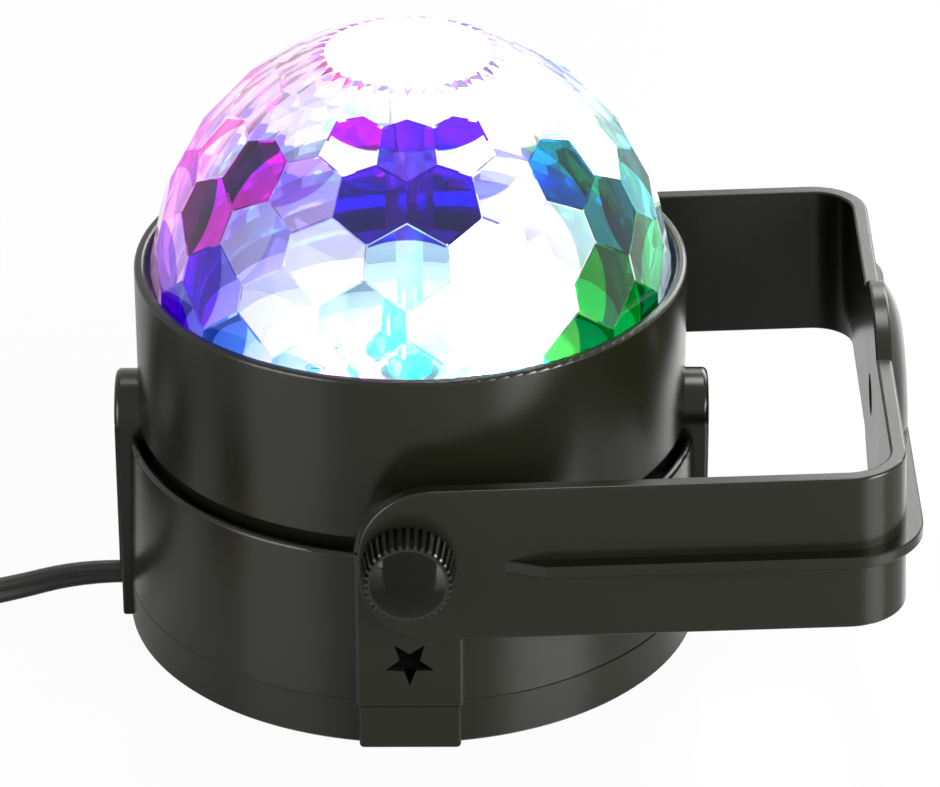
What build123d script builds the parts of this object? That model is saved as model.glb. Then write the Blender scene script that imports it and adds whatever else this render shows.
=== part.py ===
from build123d import *
import math
import os

# Housing, in millimetres; z is zero on the table and the bracket swings towards +X
base_radius = 44.4
rim_inset = 2.3
rim_height = 59.8
rim_wall = 1.7
rim_round = 0.6
skirt_round = 0.4
pivot_height = 33.4
parting_gap = 0.3
lip_drop = 1.4
lip_inset = 0.6
lip_wall = 1.1
lip_round = 0.7
lip_inner_round = 0.3
groove_width = 1.65
groove_depth = 2.5
lower_wall = 2.4
spigot_clearance = 0.15
spigot_wall = 1.6
spigot_depth = 5.0
shoulder_thickness = 2.0
shoulder_width = 2.2
cover_height = 7.3
cover_floor = 2.0
cover_wall = 2.2
cover_edge = 0.4
seam_bevel = 0.2

# Pads on the four sides of the housing
pad_proud = 1.3
pad_half_width = 8.1
ear_half_width = 6.5
pad_round = 0.8
boss_round = 0.9
foot_half_width = 7.6
ear_foot_half_width = 5.9
foot_inset = 0.25
foot_corner = 0.7
foot_edge = 0.4
star_radius = 3.85
star_height = 14.85
star_wall = 1.2
star_inner_share = 0.42
star_points = 5

# Pivot hardware
stud_radius = 2.5
stud_clearance = 0.05
insert_radius = 3.6
insert_length = 8.0
insert_inset = 0.4
insert_block_radius = 5.0
insert_block_depth = 3.4
block_clearance = 0.2
washer_radius = 7.0
washer_thickness = 1.5
running_gap = 0.15

# Bracket: a flat strip bent into a U, with a rib round its outside and a domed hanging disc
bracket_reach = 73.25
strip_thickness = 2.4
strip_width = 24.8
strip_corner = 9.0
end_reach = 7.4
end_radius = 11.0
strip_round = 0.4
rib_height = 1.9
rib_drop = 0.25
rib_reach = 2.5
rib_end_reach = 2.5
rib_edge = 0.2
rib_start = 14.0
rib_taper = 6.2
disc_radius = 17.6
disc_flat = 10.0
disc_bulge = 2.6
hang_hole_radius = 3.3
bracket_lift = 1.95

# Thumb knobs
knob_radius = 7.1
knob_front_radius = 6.4
knob_depth = 4.8
knob_groove = 0.6
knob_ridge_share = 0.3
knob_floor_share = 0.36
knob_edge = 0.2
cap_rim = 0.85
cap_bulge = 1.4
cap_seat = 1.0
knob_bore_depth = 3.4
knob_gap = 0.2

# Faceted dome and its spindle
dome_corner_gap = 0.4
facet_depth = 0.9
dome_wall = 2.5
dome_centre_height = 56.75
dome_cap_drop = 2.1
dome_cap_thickness = 2.0
dome_skirt_depth = 7.0
dome_gap = 0.45
tooth_inner_radius = 12.6
tooth_outer_radius = 15.4
tooth_width = 1.1
spindle_radius = 3.0
spindle_hub_radius = 5.2
spindle_hub_height = 4.0
shaft_radius = 1.5

# Deck, light board and lamps
deck_rise = 6.6
deck_thickness = 1.4
deck_clearance = 0.2
deck_ledge = 2.0
deck_hole_radius = 7.0
light_board_radius = 25.0
light_board_thickness = 1.6
lamp_ring_radius = 16.0
lamp_base_radius = 4.0
lamp_base_height = 1.6
lamp_lens_radius = 2.8
lamp_lens_stem = 1.0

# Motor under the deck
gearbox_radius = 13.5
gearbox_depth = 8.0
motor_radius = 11.0
motor_depth = 8.0
motor_ear_reach = 18.5
motor_ear_radius = 3.6
motor_ear_thickness = 1.2
motor_screw_radius = 1.3
motor_screw_head_radius = 2.4
motor_screw_head_depth = 1.4

# Power board on the bottom cover
board_length = 50.0
board_width = 38.0
board_thickness = 1.6
board_height = 6.5
post_radius = 2.6
post_inset = 4.0
post_screw_radius = 1.1
post_screw_head_radius = 2.2
post_screw_head_depth = 1.3
post_screw_depth = 4.0
core_length = 18.0
core_width = 14.0
core_height = 9.5
winding_width = 19.0
winding_length = 11.0
winding_height = 7.5
can_radius = 4.0
can_height = 8.5
can_spacing = 10.0
chip_length = 10.0
chip_width = 6.5
chip_height = 2.0
microphone_radius = 4.4
microphone_length = 4.5
microphone_gap = 0.2

# Screws that hold the bottom cover
cover_screw_count = 4
cover_screw_inset = 6.0
cover_screw_radius = 1.4
cover_screw_head_radius = 2.7
cover_screw_head_depth = 1.6
cover_screw_depth = 12.0
screw_boss_radius = 3.3
screw_boss_height = 14.0
recess_clearance = 0.2
tap_clearance = 0.05

# Supply lead: a flat twin flex, drawn as a round lead of the flex's width
lead_radius = 2.25
lead_exit_height = 4.7
bush_radius = 2.9
bush_depth = 3.2
coil_radius = 24.0
coil_pitch = 5.0
coil_turns_per_layer = 2.75
coil_layer_rise = 4.95
coil_base = 3.35
coil_centre_x = -103.0
coil_front_y = -7.0
coil_reverse_turns = 0.5
coil_run_in = 13.5
lead_straight = 7.0
lead_bends = [(-64.0, -2.4, 2.7), (-76.0, -6.2, 2.5)]
tail_bends = [(-131.0, -11.5, 5.6), (-140.0, -23.5, 2.8), (-137.5, -37.5, 3.4)]
bend_share = 0.45
heading_step = 0.001
tie_width = 3.6
tie_thickness = 0.8
tie_clearance = 0.25
plug_length = 24.0
plug_width = 21.0
plug_height = 12.5
plug_round = 3.0
plug_start_x = -113.5
plug_line_y = -46.0
plug_run_in = 13.5
plug_neck_length = 9.0
plug_neck_radius = 3.6
plug_neck_ribs = 4
plug_taper_share = 0.72
blade_length = 15.9
blade_height = 6.35
blade_thickness = 1.5
blade_spacing = 12.7
blade_root = 4.0

# Counts and angles
pad_count = 4
facet_count = 18
facet_latitudes = [65.5, 54.5, 41.4, 28.0, 15.0, 2.0]
tooth_count = 36
knurl_count = 36
lamp_count = 3
lamp_turn = 100.0
overrun = 1.0

BASE = (Align.CENTER, Align.CENTER, Align.MIN)
TOP = (Align.CENTER, Align.CENTER, Align.MAX)

# Places worked out from the sizes above
rim_radius = base_radius - rim_inset
lip_radius = base_radius - lip_inset
lip_height = pivot_height - lip_drop
cover_screw_circle = base_radius - cover_screw_inset
skirt_height = pivot_height + parting_gap / 2
pad_top = pivot_height - parting_gap / 2
pad_reach = base_radius + pad_proud
deck_height = pivot_height + deck_rise
groove_outer = lip_radius - lip_wall
groove_base = lip_height - groove_depth
lip_bore = groove_outer - groove_width
spigot_radius = lip_bore - spigot_clearance
spigot_bore = spigot_radius - spigot_wall
spigot_base = lip_height - spigot_depth
deck_base = deck_height - deck_thickness
rim_bore = rim_radius - rim_wall
dome_corner_radius = rim_bore - dome_corner_gap
facet_plane_radius = dome_corner_radius - facet_depth
dome_bore_radius = facet_plane_radius - dome_wall
dome_cap_height = facet_plane_radius - dome_cap_drop
arm_inner = pad_reach + washer_thickness + running_gap
arm_outer = arm_inner + strip_thickness
knob_base = arm_outer + knob_gap
insert_outer = pad_reach - insert_inset
cap_radius = knob_front_radius - cap_rim
cap_top = dome_centre_height + dome_cap_height
cap_underside = cap_top - dome_cap_thickness
shaft_top = deck_height + light_board_thickness + spindle_hub_height
lamp_floor = deck_height + light_board_thickness
board_top = board_height + board_thickness


def tube(outer, inner, bottom, top):
    wall = Cylinder(outer, top - bottom, align=BASE) - Cylinder(inner, top - bottom, align=BASE)
    return Pos(0, 0, bottom) * wall


def rod(radius, bottom, top):
    return Pos(0, 0, bottom) * Cylinder(radius, top - bottom, align=BASE)


def turned(points, round_corner=None, radius=0):
    profile = Plane.XZ * make_face(Polyline(*points, close=True))
    solid = revolve(profile, axis=Axis.Z)
    if round_corner is not None:
        edges = [e for e in solid.edges().filter_by(GeomType.CIRCLE) if round_corner(e)]
        solid = fillet(edges, radius)
    return solid


def round_sides(solid, angles):
    return [Rot(0, 0, angle) * solid for angle in angles]


def along_y(radius, start, end, height):
    pin = Pos(0, start, height) * Rot(-90, 0, 0) * Cylinder(radius, end - start, align=BASE)
    return pin


def at_radius(edge, radius):
    return abs(edge.radius - radius) < rim_round / 2


pad_angles = [360 / pad_count * i for i in range(pad_count)]
pivot_angles = pad_angles[::2]
ear_angles = pad_angles[1::2]
screw_angles = [360 / cover_screw_count * (i + 0.5) for i in range(cover_screw_count)]


# Upper housing: rim, ledge for the deck, and a spigot that drops into the lower housing
def upper_boss(half_width):
    outline = Circle(half_width) - Pos(0, -half_width) * Rectangle(
        2 * half_width + overrun, 2 * half_width - parting_gap)
    depth = pad_reach - spigot_bore
    boss = extrude(Plane.XZ * outline, amount=depth)
    front = boss.faces().sort_by(Axis.Y)[0]
    boss = fillet(front.edges(), boss_round)
    return Pos(0, -spigot_bore, pivot_height) * boss


def insert_block(radius, above):
    side = 1 if above else -1
    wall = spigot_bore if above else lip_bore
    block = along_y(radius, -wall - overrun, -spigot_bore + insert_block_depth, pivot_height)
    reach = deck_base - pivot_height
    keep = Box(2 * radius + overrun, 2 * pad_reach, reach - parting_gap / 2)
    limit = Pos(0, -spigot_bore, pivot_height + side * (reach + parting_gap / 2) / 2) * keep
    return block & limit


def upper_housing():
    profile = [
        (rim_radius, skirt_height), (rim_radius, rim_height), (rim_bore, rim_height),
        (rim_bore, deck_base), (rim_bore - deck_ledge, deck_base),
        (spigot_bore, deck_base - deck_ledge), (spigot_bore, spigot_base),
        (spigot_radius, spigot_base), (spigot_radius, skirt_height)]
    shell = turned(profile, lambda e: e.center().Z > rim_height - rim_round, rim_round)
    lower_edge = [e for e in shell.edges().filter_by(GeomType.CIRCLE)
                  if at_radius(e, rim_radius) and e.center().Z < skirt_height + skirt_round]
    shell = fillet(lower_edge, skirt_round)
    body = shell + round_sides(upper_boss(pad_half_width), pivot_angles)
    body += round_sides(upper_boss(ear_half_width), ear_angles)
    body -= rod(spigot_bore, spigot_base, deck_base - deck_ledge)
    body -= rod(rim_bore, deck_base, rim_height)
    body += round_sides(insert_block(insert_block_radius, True), pivot_angles)
    pocket = along_y(insert_radius, -insert_outer, -insert_outer + insert_length, pivot_height)
    pocket += along_y(stud_radius + stud_clearance, -pad_reach - overrun, -insert_outer, pivot_height)
    room = insert_block(insert_block_radius + block_clearance, False)
    window = Pos(0, -spigot_radius, spigot_base) * Box(
        2 * (insert_block_radius + block_clearance), 2 * (spigot_radius - spigot_bore + overrun),
        skirt_height - spigot_base, align=BASE)
    return body - round_sides(pocket, pivot_angles) - round_sides(window, pivot_angles) \
        - round_sides(room, pivot_angles)


# Lower housing: rounded lip, shoulder for the spigot, four pads, screw bosses, star and stud holes
def star(radius):
    tips = []
    for i in range(2 * star_points):
        reach = radius if i % 2 == 0 else radius * star_inner_share
        angle = math.pi * i / star_points - math.pi / 2
        tips.append((reach * math.cos(angle), reach * math.sin(angle)))
    return make_face(Polyline(*tips, close=True))


def side_pad(half_width, reach, bottom, top, inner):
    depth = reach - inner
    pad = Pos(0, -inner - depth / 2, bottom) * Box(2 * half_width, depth, top - bottom, align=BASE)
    pad = fillet(pad.faces().sort_by(Axis.Y)[0].edges().filter_by(Axis.Z), pad_round)
    return chamfer(pad.faces().sort_by(Axis.Z)[0].edges().sort_by(Axis.Y)[:-1], seam_bevel)


def lower_housing():
    bore_base = base_radius - lower_wall
    profile = [
        (base_radius - seam_bevel, cover_height), (base_radius, cover_height + seam_bevel),
        (lip_radius, lip_height), (groove_outer, lip_height), (groove_outer, groove_base),
        (lip_bore, groove_base), (lip_bore, spigot_base), (lip_bore - shoulder_width, spigot_base),
        (lip_bore - shoulder_width, spigot_base - shoulder_thickness / 2),
        (lip_bore, spigot_base - shoulder_thickness - shoulder_width), (bore_base, cover_height)]
    shell = turned(profile, lambda e: e.center().Z > lip_height - rim_round
                   and at_radius(e, lip_radius), lip_round)
    inner_edge = [e for e in shell.edges().filter_by(GeomType.CIRCLE)
                  if at_radius(e, groove_outer) and e.center().Z > lip_height - lip_inner_round]
    shell = fillet(inner_edge, lip_inner_round)
    pad = side_pad(pad_half_width, pad_reach, cover_height, pad_top, lip_bore)
    ear = side_pad(ear_half_width, pad_reach, cover_height, pad_top, lip_bore)
    body = shell + round_sides(pad, pivot_angles) + round_sides(ear, ear_angles)
    body += round_sides(insert_block(insert_block_radius, False), pivot_angles)
    boss = Pos(cover_screw_circle, 0, 0) * rod(screw_boss_radius, cover_height, cover_height + screw_boss_height)
    body += [turn & rod(bore_base + lower_wall / 2, cover_height, lip_height)
             for turn in round_sides(boss, screw_angles)]
    pilot = Pos(cover_screw_circle, 0, cover_height) * Cylinder(
        cover_screw_radius + tap_clearance, cover_screw_depth, align=BASE)
    body -= round_sides(pilot, screw_angles)
    spigot_room = tube(spigot_radius + spigot_clearance, spigot_bore - overrun, spigot_base, lip_height)
    keep_blocks = [Pos(0, s * spigot_radius, spigot_base) * Box(
        2 * insert_block_radius, 2 * spigot_depth, pad_top - spigot_base, align=BASE) for s in (1, -1)]
    body -= spigot_room - keep_blocks
    pocket = along_y(insert_radius, -insert_outer, -insert_outer + insert_length, pivot_height)
    pocket += along_y(stud_radius + stud_clearance, -pad_reach - overrun, -insert_outer, pivot_height)
    body -= round_sides(pocket, pivot_angles)
    hole = extrude(Plane.XZ * star(star_radius), amount=pad_reach - spigot_bore + overrun)
    body -= Pos(0, -spigot_bore, star_height) * hole
    return body - along_y(microphone_radius + microphone_gap, star_wall - pad_reach, -spigot_bore, star_height)


# Bottom cover: shallow cup with four feet, board posts, screw seats and the lead's notch
def post_places():
    across = board_length / 2 - post_inset
    along = board_width / 2 - post_inset
    return [(x, y) for x in (-across, across) for y in (-along, along)]


def lead_notch(radius, inner):
    depth = pad_reach + overrun - inner
    hole = Pos(-inner, 0, lead_exit_height) * Rot(0, -90, 0) * Cylinder(radius, depth, align=BASE)
    slot = Pos(-inner - depth / 2, 0, lead_exit_height) * Box(depth, 2 * radius, cover_height, align=BASE)
    return hole + slot


def cover_foot(half_width, inner):
    depth = pad_reach - foot_inset - inner
    foot = Pos(0, -inner - depth / 2, 0) * Box(2 * half_width, depth, cover_height, align=BASE)
    foot = fillet(foot.edges().filter_by(Axis.Y).group_by(Axis.Z)[0], foot_corner)
    front = foot.faces().sort_by(Axis.Y)[0].edges()
    foot = fillet(front.sort_by(Axis.Z)[:-1], foot_edge)
    return chamfer(foot.faces().sort_by(Axis.Z)[-1].edges().sort_by(Axis.Y)[:-1], seam_bevel)


def bottom_cover():
    bore = base_radius - cover_wall
    cup = rod(base_radius, 0, cover_height) - rod(bore, cover_floor, cover_height)
    cup = chamfer(cup.edges().filter_by(GeomType.CIRCLE).sort_by(Axis.Z)[0], cover_edge)
    cup = chamfer([e for e in cup.edges().filter_by(GeomType.CIRCLE).group_by(Axis.Z)[-1]
                   if at_radius(e, base_radius)], seam_bevel)
    body = cup + round_sides(cover_foot(foot_half_width, bore), pivot_angles)
    body += round_sides(cover_foot(ear_foot_half_width, bore), ear_angles)
    seat = Pos(cover_screw_circle, 0, 0) * rod(screw_boss_radius, cover_floor, cover_height)
    limit = rod(base_radius - cover_wall / 2, 0, cover_height)
    body += [turn & limit for turn in round_sides(seat, screw_angles)]
    body += [Pos(x, y, 0) * rod(post_radius, cover_floor, board_height) for x, y in post_places()]
    hole = rod(cover_screw_radius + recess_clearance, -overrun, cover_height + overrun)
    hole += rod(cover_screw_head_radius + recess_clearance, -overrun, cover_screw_head_depth)
    body -= round_sides(Pos(cover_screw_circle, 0, 0) * hole, screw_angles)
    body -= [Pos(x, y, board_height - post_screw_depth) * Cylinder(
        post_screw_radius + tap_clearance, post_screw_depth, align=BASE) for x, y in post_places()]
    return body - lead_notch(bush_radius, bore - overrun)


def lead_bush():
    outer = pad_reach - foot_inset
    plug = Pos(-outer, 0, lead_exit_height) * Rot(0, 90, 0) * Cylinder(bush_radius, bush_depth, align=BASE)
    top = Pos(-outer + bush_depth / 2, 0, lead_exit_height) * Box(
        bush_depth, 2 * bush_radius, cover_height - lead_exit_height, align=BASE)
    below = Pos(-outer, 0, 0) * Box(4 * bush_depth, 4 * bush_radius, cover_height, align=BASE)
    return (plug + top) & below


# Screws
def screw(radius, head_radius, head_depth, length):
    head = fillet(Cylinder(head_radius, head_depth, align=TOP).edges().filter_by(
        GeomType.CIRCLE).sort_by(Axis.Z)[0], head_depth / 4)
    shank = Cylinder(radius, length, align=BASE)
    slot = Pos(0, 0, -head_depth) * Box(head_radius, radius / 2, head_depth, align=(
        Align.CENTER, Align.CENTER, Align.CENTER))
    return head + shank - slot


def cover_screws():
    length = cover_height - cover_screw_head_depth + cover_screw_depth
    one = Pos(cover_screw_circle, 0, cover_screw_head_depth) * screw(
        cover_screw_radius, cover_screw_head_radius, cover_screw_head_depth, length)
    return round_sides(one, screw_angles)


def board_screws():
    one = Rot(180, 0, 0) * screw(post_screw_radius, post_screw_head_radius, post_screw_head_depth,
                                 post_screw_depth + board_thickness)
    return [Pos(x, y, board_top) * one for x, y in post_places()]


# Pivot inserts, washers, studs and knobs on both sides
def pivot_insert():
    body = along_y(insert_radius, -insert_outer, -insert_outer + insert_length, pivot_height)
    return body - along_y(stud_radius + stud_clearance, -pad_reach, 0, pivot_height)


def friction_washer():
    ring = along_y(washer_radius, -pad_reach - washer_thickness, -pad_reach, pivot_height)
    return ring - along_y(stud_radius + stud_clearance, -arm_outer, 0, pivot_height)


def pivot_stud():
    return along_y(stud_radius, -knob_base - knob_bore_depth, -insert_outer + insert_length - overrun, pivot_height)


def pivot_knob():
    pitch = 2 * math.pi / knurl_count
    floor = knob_radius - knob_groove
    corners = [(knob_radius, -knob_ridge_share / 2), (knob_radius, knob_ridge_share / 2),
               (floor, (1 - knob_floor_share) / 2), (floor, (1 + knob_floor_share) / 2)]
    tips = [(reach * math.cos(pitch * (i + share)), reach * math.sin(pitch * (i + share)))
            for i in range(knurl_count) for reach, share in corners]
    back = make_face(Polyline(*tips, close=True))
    front = Pos(0, 0, knob_depth) * scale(back, by=knob_front_radius / knob_radius)
    knurl = Pos(0, 0, knob_base) * loft([back, front], ruled=True)
    top = knob_base + knob_depth
    envelope = turned([
        (0, knob_base), (knob_radius - knob_edge, knob_base), (knob_radius, knob_base + knob_edge),
        (knob_radius, top - 2 * knob_edge), (knob_front_radius + knob_edge, top - 2 * knob_edge),
        (knob_front_radius - knob_edge, top), (0, top)])
    body = knurl & envelope
    body -= rod(cap_radius, knob_base + knob_depth - cap_seat, knob_base + knob_depth)
    body -= rod(stud_radius, knob_base, knob_base + knob_bore_depth)
    return Pos(0, 0, pivot_height) * Rot(90, 0, 0) * body


def knob_cap():
    seat = knob_base + knob_depth - cap_seat
    dome_radius = (cap_radius ** 2 + cap_bulge ** 2) / (2 * cap_bulge)
    crown = Pos(0, 0, seat + cap_seat + cap_bulge - dome_radius) * Sphere(dome_radius)
    body = rod(cap_radius, seat, seat + cap_seat + cap_bulge) & crown
    return Pos(0, 0, pivot_height) * Rot(90, 0, 0) * body


# Bracket
def u_outline(reach, half_span, corner, thickness, tail):
    outer = Pos((reach - tail) / 2, 0) * Rectangle(reach + tail, 2 * half_span)
    outer = fillet(outer.vertices().group_by(Axis.X)[-1], corner)
    inner = Pos((reach - thickness - tail) / 2 - overrun / 2, 0) * Rectangle(
        reach - thickness + tail + overrun, 2 * (half_span - thickness))
    inner = fillet(inner.vertices().group_by(Axis.X)[-1], corner - thickness)
    return outer - inner


def u_filled():
    shape = Pos((bracket_reach - end_reach) / 2, 0) * Rectangle(bracket_reach + end_reach, 2 * arm_outer)
    return fillet(shape.vertices().group_by(Axis.X)[-1], strip_corner)


def bracket_rib():
    half = arm_outer
    full = half + rib_reach
    corner = strip_corner + rib_reach
    tall = bracket_reach + rib_end_reach
    edge = Polyline((rib_start, half), (rib_start + rib_taper, full), (tall - corner, full))
    bend = TangentArc((tall - corner, full), (tall, full - corner), tangent=(1, 0))
    along = Line((tall, full - corner), (tall, corner - full))
    back = mirror(Curve() + edge + bend, about=Plane.XZ)
    close = Line((rib_start, half), (rib_start, -half))
    block = extrude(make_face(Curve() + edge + bend + along + back + close), amount=rib_height / 2, both=True)
    block = chamfer(block.faces().filter_by(Axis.Z).edges(), rib_edge)
    return Pos(0, 0, -rib_drop) * (block - extrude(u_filled(), amount=rib_height, both=True))


def hanging_disc():
    walls = Polyline((0, disc_bulge), (0, -strip_thickness), (disc_radius, -strip_thickness), (disc_radius, 0))
    face = Line((0, disc_bulge), (disc_flat, disc_bulge))
    brow = TangentArc((disc_flat, disc_bulge), (disc_radius, 0), tangent=(1, 0))
    disc = revolve(Plane.XZ * make_face(Curve() + walls + face + brow), axis=Axis.Z)
    disc = fillet([e for e in disc.edges().filter_by(GeomType.CIRCLE) if at_radius(e, disc_radius)], strip_round)
    return Pos(bracket_reach, 0, 0) * Rot(0, 90, 0) * disc


def bracket():
    strip = extrude(u_outline(bracket_reach, arm_outer, strip_corner, strip_thickness, end_reach),
                    amount=strip_width / 2, both=True)
    side = Pos((bracket_reach - end_reach) / 2, 0) * Rectangle(bracket_reach + end_reach, strip_width)
    side = fillet(side.vertices().group_by(Axis.X)[0], end_radius)
    strip &= extrude(Plane.XZ * side, amount=arm_outer + overrun, both=True)
    across = strip.edges().filter_by(Axis.Y).group_by(SortBy.LENGTH)[0]
    seams = [e for group in strip.edges().filter_by(Axis.Z).group_by(Axis.X)[1:] for e in group]
    strip = fillet([e for e in strip.edges() if e not in across and e not in seams], strip_round)
    body = strip + bracket_rib() + hanging_disc()
    body -= Pos(bracket_reach - strip_thickness - overrun, 0, 0) * Rot(0, 90, 0) * Cylinder(
        hang_hole_radius, 2 * overrun + strip_thickness + disc_bulge, align=BASE)
    body -= along_y(stud_radius + stud_clearance, -arm_outer - overrun, arm_outer + overrun, 0)
    return Pos(0, 0, pivot_height) * Rot(0, -bracket_lift, 0) * body


# Dome: every facet is a plane that touches one inner ball, in staggered rows under a flat cap
def crystal_dome():
    step = 360 / facet_count
    skirt_base = -dome_skirt_depth
    gem = Cylinder(dome_corner_radius + overrun, dome_corner_radius + overrun, align=BASE)
    gem = split(gem, bisect_by=Plane((0, 0, dome_cap_height), z_dir=(0, 0, 1)), keep=Keep.BOTTOM)
    for row, latitude in enumerate(facet_latitudes):
        rise = math.radians(latitude)
        for i in range(facet_count):
            turn = math.radians(step * (i + (0.5 if row % 2 == 0 else 0)) - 90)
            normal = Vector(math.cos(rise) * math.cos(turn), math.cos(rise) * math.sin(turn), math.sin(rise))
            gem = split(gem, bisect_by=Plane(normal * facet_plane_radius, z_dir=normal), keep=Keep.BOTTOM)
    outer = rim_bore - dome_gap
    gem = gem & rod(outer, 0, dome_corner_radius)
    skirt = rod(facet_plane_radius, skirt_base, 0)
    cavity = Sphere(dome_bore_radius) & rod(dome_bore_radius, 0, dome_cap_height - dome_cap_thickness)
    cavity += rod(dome_bore_radius, skirt_base, 0)
    notch = Pos((tooth_inner_radius + tooth_outer_radius) / 2, 0, dome_cap_height) * Rot(45, 0, 0) * Box(
        tooth_outer_radius - tooth_inner_radius, tooth_width, tooth_width)
    body = gem + skirt - cavity
    body -= round_sides(notch, [360 / tooth_count * i for i in range(tooth_count)])
    return Pos(0, 0, dome_centre_height) * body


def dome_spindle():
    foot = lamp_floor + running_gap
    hub = foot + spindle_hub_height
    body = turned([
        (0, foot), (spindle_hub_radius, foot), (spindle_hub_radius, hub - spindle_radius / 2),
        (spindle_radius, hub), (spindle_radius, cap_underside), (0, cap_underside)])
    return body - rod(shaft_radius, foot, shaft_top)


# Deck, light board, lamps and motor
def deck_plate():
    plate = tube(rim_bore - deck_clearance, deck_hole_radius, deck_base, deck_height)
    holes = [Pos(s * (motor_ear_reach - motor_ear_radius), 0, 0) * rod(
        motor_screw_radius + recess_clearance, deck_base, deck_height) for s in (1, -1)]
    return plate - holes


def light_board():
    board = tube(light_board_radius, deck_hole_radius, deck_height, lamp_floor)
    heads = [Pos(s * (motor_ear_reach - motor_ear_radius), 0, 0) * rod(
        motor_screw_head_radius + recess_clearance, deck_height, lamp_floor) for s in (1, -1)]
    return board - heads


def lamp(index):
    base = rod(lamp_base_radius, lamp_floor, lamp_floor + lamp_base_height)
    stem_top = lamp_floor + lamp_base_height + lamp_lens_stem
    lens = rod(lamp_lens_radius, lamp_floor, stem_top)
    lens += Pos(0, 0, stem_top) * Sphere(lamp_lens_radius, arc_size1=0)
    flat = Pos(lamp_base_radius, 0, lamp_floor) * Box(
        lamp_base_radius / 4, 2 * lamp_base_radius, lamp_base_height, align=BASE)
    body = base - flat + lens
    return Rot(0, 0, lamp_turn + 360 / lamp_count * index) * Pos(lamp_ring_radius, 0, 0) * body


def gearbox():
    body = rod(gearbox_radius, deck_base - gearbox_depth, deck_base)
    ear_place = motor_ear_reach - motor_ear_radius
    ear_base = deck_base - motor_ear_thickness
    bar = Pos(0, 0, ear_base) * Box(2 * ear_place, 2 * motor_ear_radius, motor_ear_thickness, align=BASE)
    body += bar
    body += [Pos(s * ear_place, 0, 0) * rod(motor_ear_radius, ear_base, deck_base) for s in (1, -1)]
    body -= [Pos(s * ear_place, 0, 0) * rod(motor_screw_radius, ear_base, deck_base) for s in (1, -1)]
    return body - rod(shaft_radius + stud_clearance, deck_base - gearbox_depth / 2, deck_base)


def motor_can():
    top = deck_base - gearbox_depth
    body = rod(motor_radius, top - motor_depth, top)
    rims = body.edges().filter_by(GeomType.CIRCLE).sort_by(Axis.Z)[0]
    return fillet(rims, motor_ear_thickness)


def output_shaft():
    base = deck_base - gearbox_depth / 2 + running_gap
    return rod(shaft_radius, base, shaft_top)


def motor_screws():
    one = Rot(180, 0, 0) * screw(motor_screw_radius, motor_screw_head_radius, motor_screw_head_depth,
                                 deck_thickness + motor_ear_thickness)
    place = motor_ear_reach - motor_ear_radius
    return [Pos(s * place, 0, deck_height) * one for s in (1, -1)]


# Power board and what stands on it
def power_board():
    board = Pos(0, 0, board_height) * Box(board_length, board_width, board_thickness, align=BASE)
    holes = [Pos(x, y, 0) * rod(post_screw_radius + tap_clearance, board_height, board_top)
             for x, y in post_places()]
    return board - holes


def transformer():
    core = Box(core_length, core_width, core_height, align=BASE)
    window = Pos(0, 0, (core_height - winding_height) / 2) * Box(
        winding_length, core_width, winding_height, align=BASE)
    coil = Pos(0, 0, (core_height - winding_height) / 2) * Box(
        winding_length, winding_width, winding_height, align=BASE)
    coil = fillet(coil.edges().filter_by(Axis.Z), winding_height / 4)
    body = core - window + coil
    return Pos(board_length / 2 - core_length - post_inset, 0, board_top) * body


def capacitors():
    body = Cylinder(can_radius, can_height, align=BASE)
    body = fillet(body.edges().filter_by(GeomType.CIRCLE), can_radius / 8)
    x = -board_length / 2 + can_radius + 2 * post_inset
    return [Pos(x, s * can_spacing / 2, board_top) * body for s in (1, -1)]


def control_chip():
    chip = Box(chip_length, chip_width, chip_height, align=BASE)
    chip = chamfer(chip.faces().sort_by(Axis.Z)[-1].edges(), chip_height / 5)
    return Pos(-post_inset, board_width / 2 - (chip_width + chip_height) / 2, board_top) * chip


def microphone():
    face = pad_reach - star_wall - microphone_gap
    body = Cylinder(microphone_radius, microphone_length, align=BASE)
    body = fillet(body.edges().filter_by(GeomType.CIRCLE).sort_by(Axis.Z)[0], microphone_radius / 8)
    return Pos(0, -face + microphone_length, star_height) * Rot(90, 0, 0) * body


# Supply lead: its free runs, the put-away coil, the tie and the plug
coil_outer = coil_radius + coil_pitch * coil_turns_per_layer / 2
coil_inner = coil_radius - coil_pitch * coil_turns_per_layer / 2
coil_centre_y = coil_front_y + coil_outer
coil_slope = coil_pitch / (2 * math.pi * coil_outer)
coil_share = 2 * coil_turns_per_layer + coil_reverse_turns
lead_start = foot_inset - pad_reach
tail_height = coil_base + coil_layer_rise
lead_route = [
    (lead_start, 0, lead_exit_height), (lead_start - lead_straight, 0, lead_exit_height),
    *lead_bends,
    (coil_centre_x + coil_run_in, coil_front_y - coil_run_in * coil_slope, coil_base),
    (coil_centre_x, coil_front_y, coil_base)]
tail_route = [
    (coil_centre_x, coil_front_y, tail_height),
    (coil_centre_x - coil_run_in, coil_front_y - coil_run_in * coil_slope, tail_height),
    *tail_bends,
    (plug_start_x - plug_run_in, plug_line_y, plug_height / 2), (plug_start_x, plug_line_y, plug_height / 2)]


def run_radii(points):
    radii = []
    for before, here, after in zip(points, points[1:], points[2:]):
        first = Vector(*here) - Vector(*before)
        second = Vector(*after) - Vector(*here)
        turn = math.radians(first.get_angle(second))
        radii.append(bend_share * min(first.length, second.length) / math.tan(turn / 2))
    return radii


def lead_tube(points, name):
    radii = run_radii(points)
    path = FilletPolyline(*points, radius=radii)
    print(name, "radii", [round(r, 1) for r in radii], "length", round(path.length, 1))
    section = Plane(path @ 0, z_dir=path % 0) * Circle(lead_radius)
    solid = sweep(section, path=path)
    print(name, "volume share", round(solid.volume / (section.area * path.length), 4))
    return solid


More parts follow.
